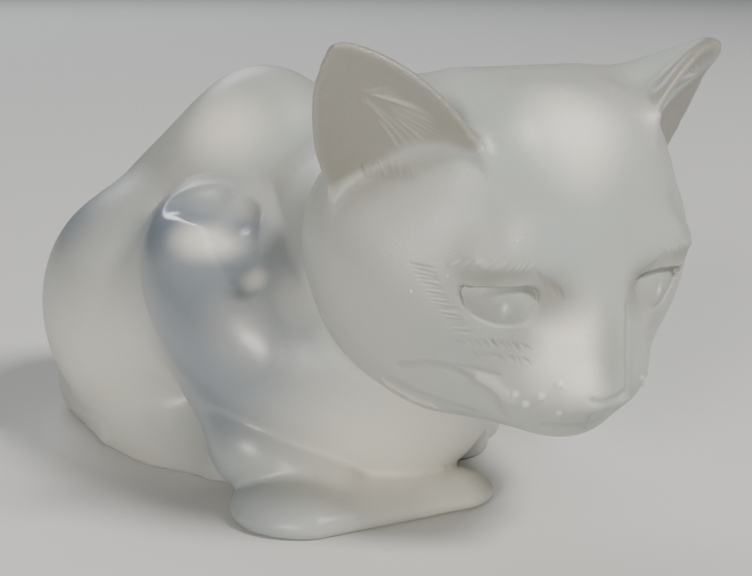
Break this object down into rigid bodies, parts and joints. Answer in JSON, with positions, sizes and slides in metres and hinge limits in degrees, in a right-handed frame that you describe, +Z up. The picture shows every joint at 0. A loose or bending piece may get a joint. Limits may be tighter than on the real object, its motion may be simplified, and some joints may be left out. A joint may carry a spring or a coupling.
{
  "type": "crystal glass figurine",
  "caption": "Crouching cat figurine in solid satin-finished crystal, head turned to one side, on a flat ground base.",
  "frame": {"origin": "middle of the figure's bounding box, on the flat underside", "axes": "+Z up, the cat faces -Y, its right side is at -X"},
  "size_m": [0.128, 0.215, 0.1254],
  "materials": {
    "satin_crystal": "pressed crystal, acid-etched satin surface with fire-polished high spots on shoulder, haunch and paw"
  },
  "bodies": {
    "root": {"glass_cat": "satin_crystal"}
  },
  "joints": []
}
